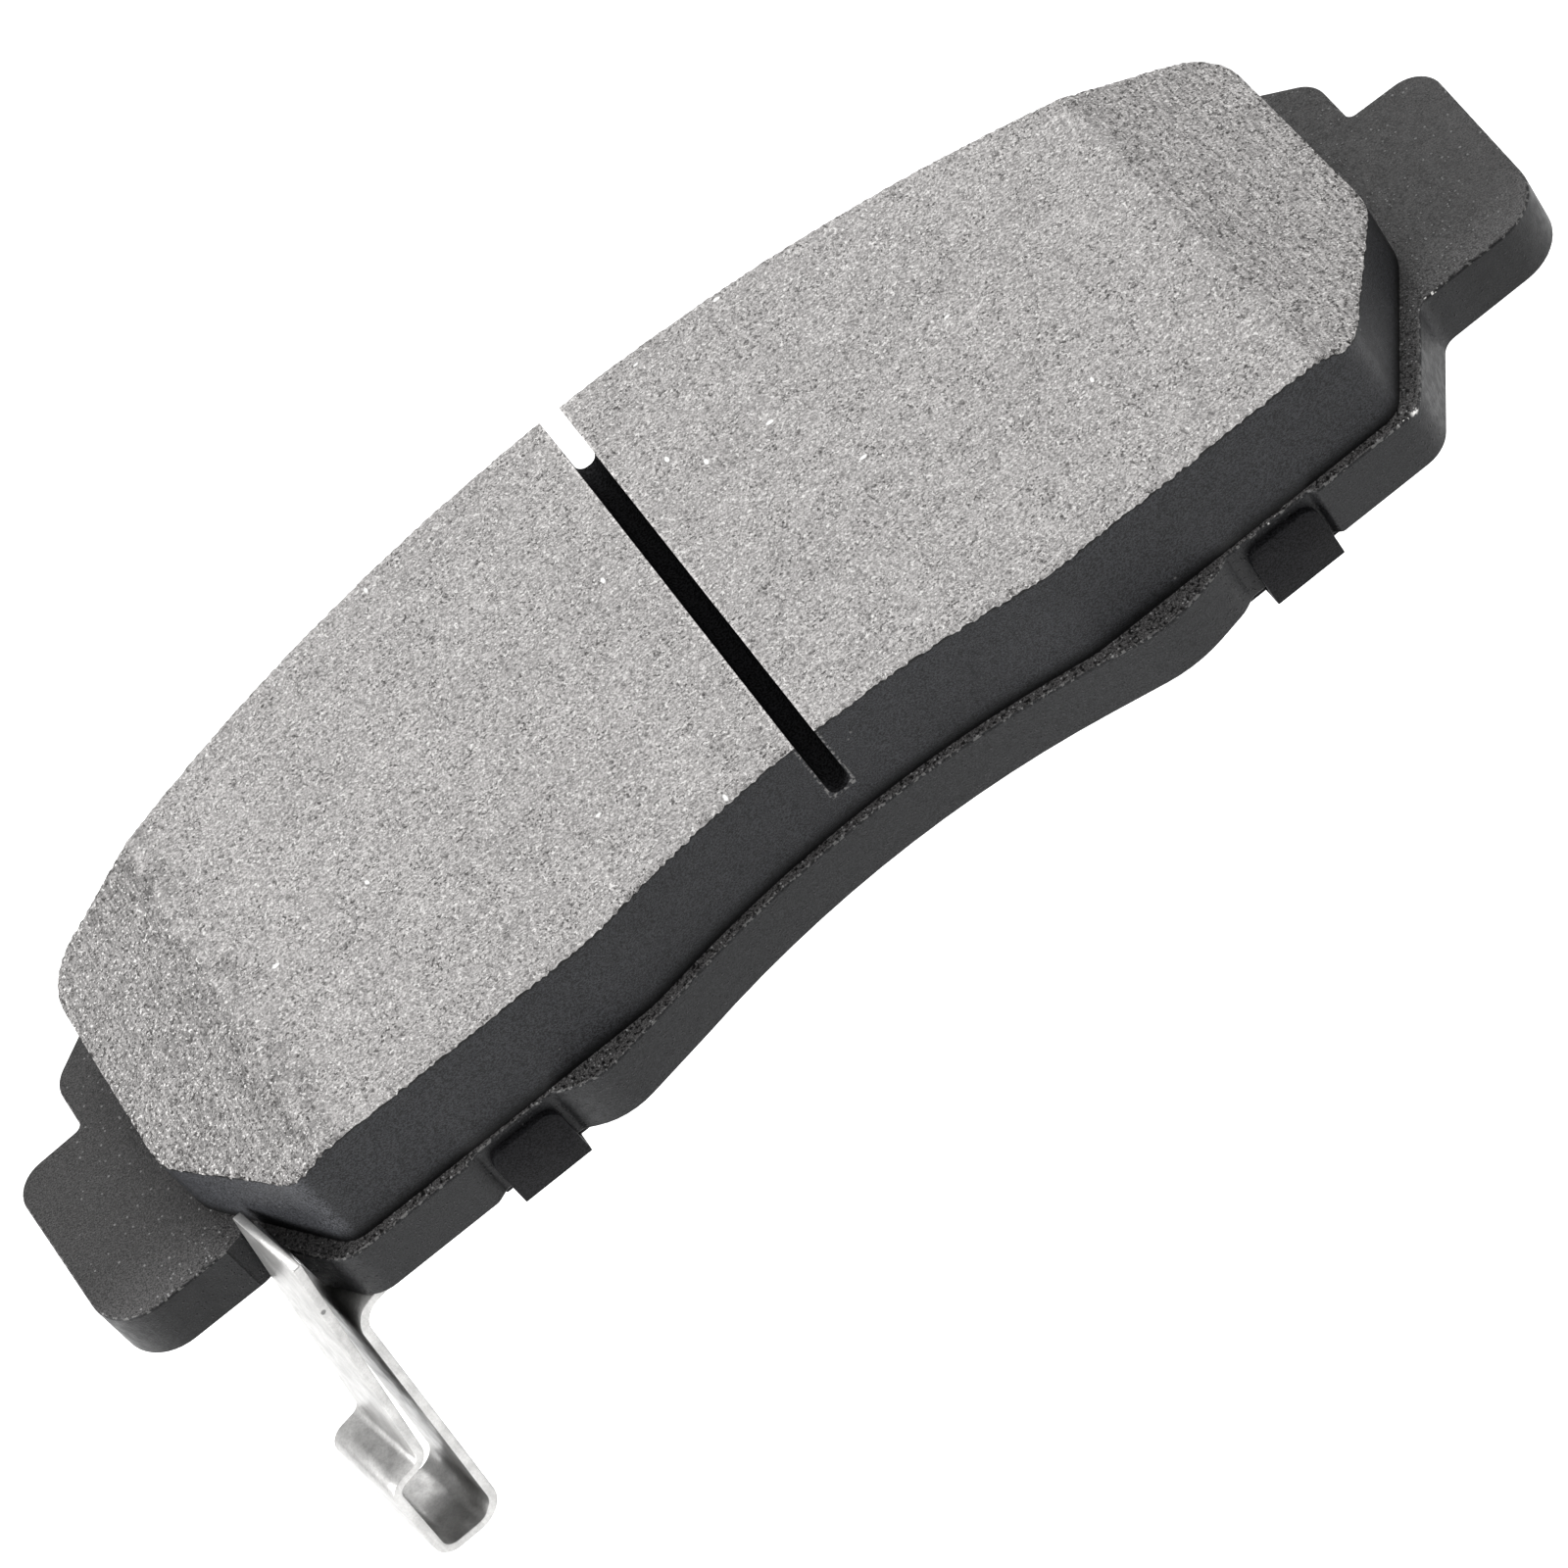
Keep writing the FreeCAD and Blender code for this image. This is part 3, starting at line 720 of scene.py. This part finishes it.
def build_lining(ring, coat, ground, slot):
    """The friction block with its saw slot, chamfers and worn face."""
    mesh = block_mesh("friction_block", ring, LINING_LOW.z, face_height)
    for material in (coat, ground, slot):
        mesh.materials.append(material)
    piece = add_piece("friction_block", mesh, "friction_lining", "pad")
    combine(piece, slot_cutter(), "DIFFERENCE")
    mesh = piece.data
    on_face = wear_face(mesh, ring)
    # Faces inside the slot get slot_black, the painted shade of the recess.
    for face in mesh.polygons:
        in_slot = abs(face.center.x) < SLOT_HALF + TIGHT and face.center.z > SLOT_FLOOR - TIGHT
        if in_slot and abs(face.normal.y) <= 0.7:
            face.material_index = 2
        else:
            face.material_index = int(all(on_face[v] for v in face.vertices))
    shade_smooth(mesh, BLOCK_CREASE)


def build_underlayer(ring, coat):
    """The layer under the friction block, with walls in line with it, and its two pegs."""
    co = np.array([v.co for v in NODES["underlayer"].data.vertices])
    low = co[co[:, 2] > PLATE_HIGH.z - LOOSE, 2].min()
    count = len(ring)
    levels = np.linspace(low, UNDERLAYER_HIGH.z, LAYER_ROWS + 1)
    verts = np.vstack([np.column_stack([ring, np.full(count, z)]) for z in levels])
    last = LAYER_ROWS * count
    faces = [(k + i, k + (i + 1) % count, k + count + (i + 1) % count, k + count + i)
             for k in range(0, last, count) for i in range(count)]
    faces += [tuple(reversed(range(count))), tuple(range(last, last + count))]
    mesh = bpy.data.meshes.new("underlayer_body")
    mesh.from_pydata(verts.tolist(), [], faces)
    mesh.materials.append(coat)
    piece = add_piece("underlayer_body", mesh, "underlayer", "pad")
    for side in (-1, 1):
        peg = co[(co[:, 2] < PLATE_LOW.z + LOOSE) & (co[:, 0] * side > 0)]
        x, y, _ = (peg.min(0) + peg.max(0)) / 2
        bpy.ops.mesh.primitive_cylinder_add(vertices=PEG_SIDES, radius=np.ptp(peg[:, 0]) / 2,
                                            depth=levels[1] - PLATE_LOW.z)
        cylinder = bpy.context.object
        cylinder.location = (x, y, (levels[1] + PLATE_LOW.z) / 2)
        combine(piece, cylinder, "UNION")
    shade_smooth(piece.data, BLOCK_CREASE)


# ---- bent sheet pieces and kept nodes ----
def refined(name, node, body, material, width):
    """A copy of a CAD node with its sharp edges rounded."""
    bm = welded(node)
    bmesh.ops.dissolve_limit(bm, angle_limit=math.radians(FLAT_ANGLE), verts=bm.verts, edges=bm.edges)
    sharp = [e for e in bm.edges
             if len(e.link_faces) == 2 and e.calc_face_angle() > math.radians(ROUNDED_ANGLE)]
    bmesh.ops.bevel(bm, geom=sharp, offset=width, segments=2, profile=0.5,
                    affect="EDGES", clamp_overlap=True)
    bmesh.ops.triangulate(bm, faces=[f for f in bm.faces if len(f.verts) > 4])
    mesh = bpy.data.meshes.new(name)
    bm.to_mesh(mesh)
    bm.free()
    mesh.materials.append(material)
    shade_smooth(mesh, SHEET_CREASE)
    add_piece(name, mesh, node, body)


def paint(node, material):
    """Give a kept CAD node its material."""
    data = NODES[node].data
    data.materials.clear()
    data.materials.append(material)


# ---- camera, lights and floor ----
def add_camera():
    data = bpy.data.cameras.new("camera")
    data.lens = LENS_MM
    data.sensor_width = SENSOR_MM
    data.clip_start = 0.01
    data.clip_end = 20.0
    camera = add_object("camera", data)
    columns = Matrix((CAMERA_RIGHT, CAMERA_UP, CAMERA_BACK)).transposed().to_4x4()
    camera.matrix_world = Matrix.Translation(CAMERA_AT) @ columns
    bpy.context.scene.camera = camera


def add_softbox(name, toward, distance, size, watts):
    """A square soft light that stands in the given direction and looks at the pad."""
    data = bpy.data.lights.new(name, "AREA")
    data.shape = "SQUARE"
    data.size = size
    data.energy = watts
    light = add_object(name, data)
    direction = toward.normalized()
    light.location = direction * distance
    light.rotation_mode = "QUATERNION"
    light.rotation_quaternion = (-direction).to_track_quat("-Z", "Y")


def add_floor():
    z = CAD_BOX[0].z - FLOOR_DROP
    corners = [(x * FLOOR_HALF, y * FLOOR_HALF, z) for x, y in ((-1, -1), (1, -1), (1, 1), (-1, 1))]
    mesh = bpy.data.meshes.new("floor")
    mesh.from_pydata(corners, [], [(0, 1, 2, 3)])
    mesh.materials.append(floor_paint())
    floor = add_object("floor", mesh)


def add_studio():
    """White surroundings, three soft boxes and the floor."""
    world = bpy.data.worlds.new("studio")
    bpy.context.scene.world = world
    world.use_nodes = True
    background = world.node_tree.nodes["Background"]
    background.inputs["Color"].default_value = (1.0, 1.0, 1.0, 1.0)
    background.inputs["Strength"].default_value = WORLD_STRENGTH
    right, up, back = CAMERA_RIGHT, CAMERA_UP, CAMERA_BACK
    add_softbox("top_box", Vector((0.25, 0.62, 0.75)), distance=1.1, size=1.1, watts=13.0)
    add_softbox("right_box", right + 0.15 * up + 0.25 * back, distance=0.9, size=0.5, watts=9.0)
    add_softbox("left_box", 0.45 * back - 0.8 * right - 0.5 * up, distance=0.9, size=0.5, watts=12.0)
    add_floor()
    bpy.context.scene.view_settings.view_transform = "Standard"


# ---- assembly ----
def main():
    coat, rubber = block_coat(), rubber_coat()
    ring = even_ring(footprint("friction_lining"), RING_STEP)
    build_lining(ring, coat, ground_friction(), slot_black())
    build_underlayer(ring, coat)
    refined("noise_shim", "outer_shim", "shim", shim_paint(), 0.10 * MM)
    refined("indicator_spring", "wear_indicator", "pad", bright_spring(), 0.12 * MM)
    paint("backing_plate", powder_coat())
    paint("damping_rubber_front", rubber)
    paint("damping_rubber_back", rubber)
    paint("damping_core", dull_steel("core_steel", CORE_STEEL, 0.4))
    paint("indicator_rivet", dull_steel("rivet_steel", RIVET_STEEL, 0.34))
    add_camera()
    add_studio()


main()
